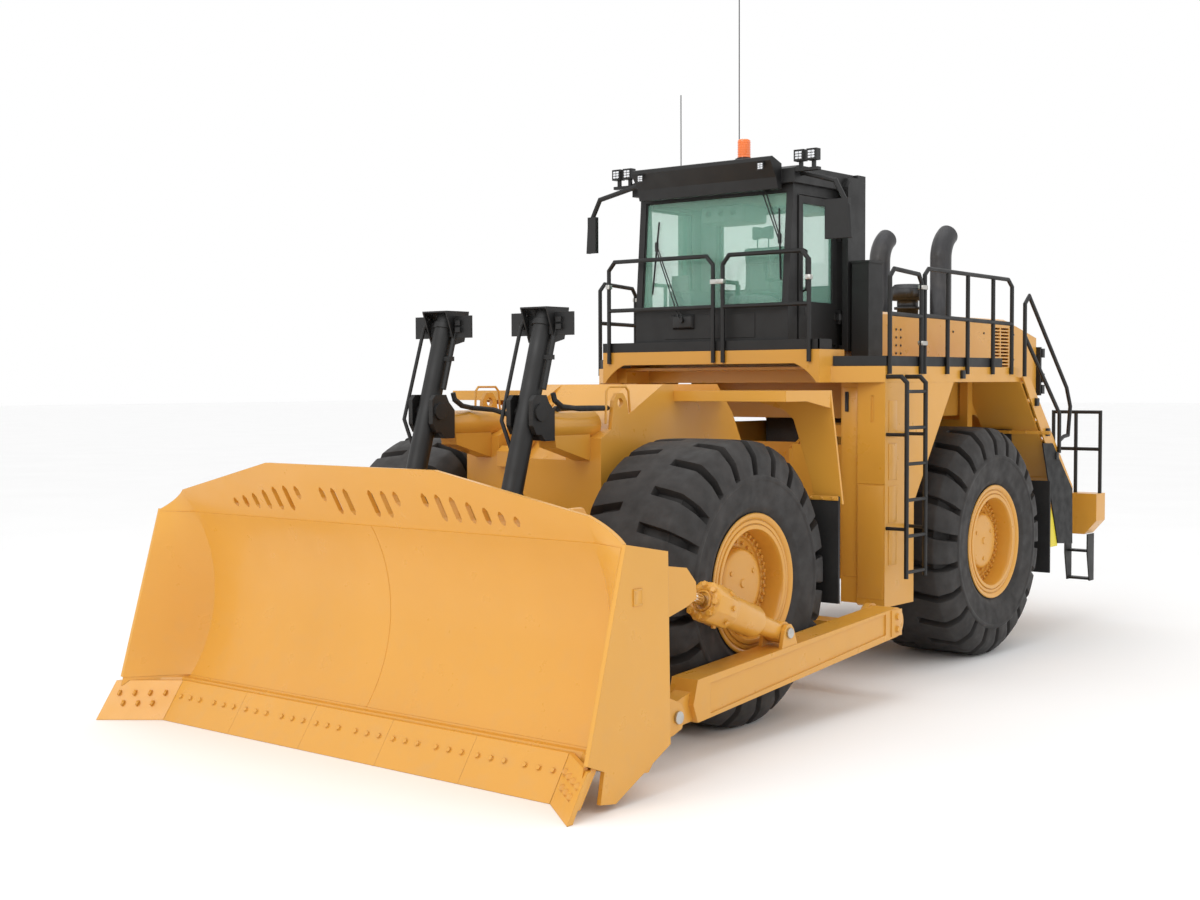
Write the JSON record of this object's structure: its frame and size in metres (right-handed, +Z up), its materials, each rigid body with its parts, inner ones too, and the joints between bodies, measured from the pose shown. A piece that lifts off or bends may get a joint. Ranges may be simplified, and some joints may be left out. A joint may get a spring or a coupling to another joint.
{
  "type": "wheel dozer",
  "caption": "Large articulated wheel dozer with a semi-U blade on long push arms, a high central cab, twin stacks and rock tyres; it steers, lifts and pitches.",
  "frame": {"origin": "on the ground below the steering hitch, midway between the axles", "axes": "+Z up, the blade faces -Y, the machine's left side is +X"},
  "size_m": [5.418, 11.2, 6.9],
  "materials": {
    "yellow": "glossy yellow enamel",
    "black": "satin black enamel",
    "iron": "dark cast iron",
    "edge_steel": "worn wear steel",
    "chrome": "chromed rod",
    "tyre": "moulded tyre rubber",
    "rubber": "black rubber",
    "glass": "green tinted",
    "fabric": "woven seat cloth",
    "plastic": "moulded plastic",
    "lamp": "clear lens"
  },
  "bodies": {
    "rear_frame": {"rear_frame": "yellow", "rear_axle": "yellow", "bumper": "yellow", "engine": "iron", "side_tanks": "yellow", "deck": "yellow", "hood": "yellow", "rear_grille": "black", "exhaust": "black", "cab_shell": "black", "cab_roof": "black", "cab_glass": "glass", "cab_seat": "fabric", "stairs": "yellow", "ladders": "black", "handrails": "black", "kick_plates": "black", "mirrors": "black", "cabinet": "black", "cab_console": "plastic", "beacon": "plastic", "work_lamps": "lamp", "rear_mudflaps": "rubber", "antennas": "rubber", "wheel_chock": "yellow"},
    "front_frame": {"front_frame": "yellow", "front_axle": "yellow", "front_fenders": "yellow", "front_mudflaps": "rubber", "lift_yokes": "black", "front_hoses": "rubber"},
    "push_arms": {"push_arm_left": "yellow", "push_arm_right": "yellow"},
    "blade": {"blade": "yellow", "cutting_edges": "yellow", "blade_brackets": "yellow"},
    "cab_door": {"cab_door": "black", "door_glass": "glass"},
    "wheel_front_left": {"rim_front_left": "yellow", "tyre_front_left": "tyre"},
    "wheel_front_right": {"rim_front_right": "yellow", "tyre_front_right": "tyre"},
    "wheel_rear_left": {"rim_rear_left": "yellow", "tyre_rear_left": "tyre"},
    "wheel_rear_right": {"rim_rear_right": "yellow", "tyre_rear_right": "tyre"},
    "lift_barrel_left": {"lift_barrel_left": "black", "lift_bracket_left": "black"},
    "lift_rod_left": {"lift_rod_left": "chrome"},
    "lift_barrel_right": {"lift_barrel_right": "black", "lift_bracket_right": "black"},
    "lift_rod_right": {"lift_rod_right": "chrome"},
    "tilt_barrel_left": {"tilt_barrel_left": "yellow"},
    "tilt_rod_left": {"tilt_rod_left": "chrome"},
    "tilt_barrel_right": {"tilt_barrel_right": "yellow"},
    "tilt_rod_right": {"tilt_rod_right": "chrome"},
    "steer_barrel_left": {"steer_barrel_left": "black"},
    "steer_rod_left": {"steer_rod_left": "chrome"},
    "steer_barrel_right": {"steer_barrel_right": "black"},
    "steer_rod_right": {"steer_rod_right": "chrome"}
  },
  "joints": [
    {"name": "steer", "type": "hinge", "parent": "rear_frame", "child": "front_frame", "pos_m": [0, 0, 1.36], "axis": [0, 0, 1], "range_deg": [-35, 35]},
    {"name": "lift", "type": "hinge", "parent": "front_frame", "child": "push_arms", "pos_m": [0, -0.46, 0.715], "axis": [-1, 0, 0], "range_deg": [-5.4, 16.5]},
    {"name": "pitch", "type": "hinge", "parent": "push_arms", "child": "blade", "pos_m": [0, -3.85, 0.39], "axis": [-1, 0, 0], "range_deg": [-5, 5]},
    {"name": "door", "type": "hinge", "parent": "rear_frame", "child": "cab_door", "pos_m": [0.984, 0.776, 4], "axis": [0, 0, 1], "range_deg": [0, 90]},
    {"name": "roll_front_left", "type": "hinge", "parent": "front_frame", "child": "wheel_front_left", "pos_m": [1.47, -2.3, 1.225], "axis": [1, 0, 0], "continuous": true},
    {"name": "roll_front_right", "type": "hinge", "parent": "front_frame", "child": "wheel_front_right", "pos_m": [-1.47, -2.3, 1.225], "axis": [1, 0, 0], "continuous": true},
    {"name": "roll_rear_left", "type": "hinge", "parent": "rear_frame", "child": "wheel_rear_left", "pos_m": [1.47, 2.3, 1.225], "axis": [1, 0, 0], "continuous": true},
    {"name": "roll_rear_right", "type": "hinge", "parent": "rear_frame", "child": "wheel_rear_right", "pos_m": [-1.47, 2.3, 1.225], "axis": [1, 0, 0], "continuous": true},
    {"name": "lift_swing_left", "type": "hinge", "parent": "front_frame", "child": "lift_barrel_left", "pos_m": [0.585, -3.6, 2.69], "axis": [-1, 0, 0], "range_deg": [-2.78, 8.4]},
    {"name": "lift_stroke_left", "type": "slide", "parent": "lift_barrel_left", "child": "lift_rod_left", "axis": [0, -0.2837, -0.9589], "range_m": [-1.04079, 0.34129]},
    {"name": "tilt_swing_left", "type": "hinge", "parent": "push_arms", "child": "tilt_barrel_left", "pos_m": [2.205, -2.275, 0.84], "axis": [-1, 0, 0], "range_deg": [-0.54, 0.54]},
    {"name": "tilt_stroke_left", "type": "slide", "parent": "tilt_barrel_left", "child": "tilt_rod_left", "axis": [0, -0.9434, 0.3315], "range_m": [-0.08304, 0.08304]},
    {"name": "steer_swing_left", "type": "hinge", "parent": "rear_frame", "child": "steer_barrel_left", "pos_m": [0.35, 1.15, 1.37], "axis": [0, 0, 1], "range_deg": [-2.82, 2.82]},
    {"name": "steer_stroke_left", "type": "slide", "parent": "steer_barrel_left", "child": "steer_rod_left", "axis": [0.0079, -1, 0], "range_m": [-0.19598, 0.19598]},
    {"name": "lift_swing_right", "type": "hinge", "parent": "front_frame", "child": "lift_barrel_right", "pos_m": [-0.585, -3.6, 2.69], "axis": [-1, 0, 0], "range_deg": [-2.78, 8.4]},
    {"name": "lift_stroke_right", "type": "slide", "parent": "lift_barrel_right", "child": "lift_rod_right", "axis": [0, -0.2837, -0.9589], "range_m": [-1.04079, 0.34129]},
    {"name": "tilt_swing_right", "type": "hinge", "parent": "push_arms", "child": "tilt_barrel_right", "pos_m": [-2.205, -2.275, 0.84], "axis": [-1, 0, 0], "range_deg": [-0.54, 0.54]},
    {"name": "tilt_stroke_right", "type": "slide", "parent": "tilt_barrel_right", "child": "tilt_rod_right", "axis": [0, -0.9434, 0.3315], "range_m": [-0.08304, 0.08304]},
    {"name": "steer_swing_right", "type": "hinge", "parent": "rear_frame", "child": "steer_barrel_right", "pos_m": [-0.35, 1.15, 1.37], "axis": [0, 0, 1], "range_deg": [-2.82, 2.82]},
    {"name": "steer_stroke_right", "type": "slide", "parent": "steer_barrel_right", "child": "steer_rod_right", "axis": [-0.0079, -1, 0], "range_m": [-0.19598, 0.19598]}
  ],
  "couplings": [
    {"joint": "lift_swing_left", "follows": "lift", "ratio": 0.50616},
    {"joint": "lift_stroke_left", "follows": "lift", "m_per_rad": -3.6106},
    {"joint": "tilt_swing_left", "follows": "pitch", "ratio": 0.09845},
    {"joint": "tilt_stroke_left", "follows": "pitch", "m_per_rad": -0.94014},
    {"joint": "steer_swing_left", "follows": "steer", "ratio": 0.07915},
    {"joint": "steer_stroke_left", "follows": "steer", "m_per_rad": -0.31918},
    {"joint": "lift_swing_right", "follows": "lift", "ratio": 0.50616},
    {"joint": "lift_stroke_right", "follows": "lift", "m_per_rad": -3.6106},
    {"joint": "tilt_swing_right", "follows": "pitch", "ratio": 0.09845},
    {"joint": "tilt_stroke_right", "follows": "pitch", "m_per_rad": -0.94014},
    {"joint": "steer_swing_right", "follows": "steer", "ratio": 0.07915},
    {"joint": "steer_stroke_right", "follows": "steer", "m_per_rad": 0.31918}
  ]
}
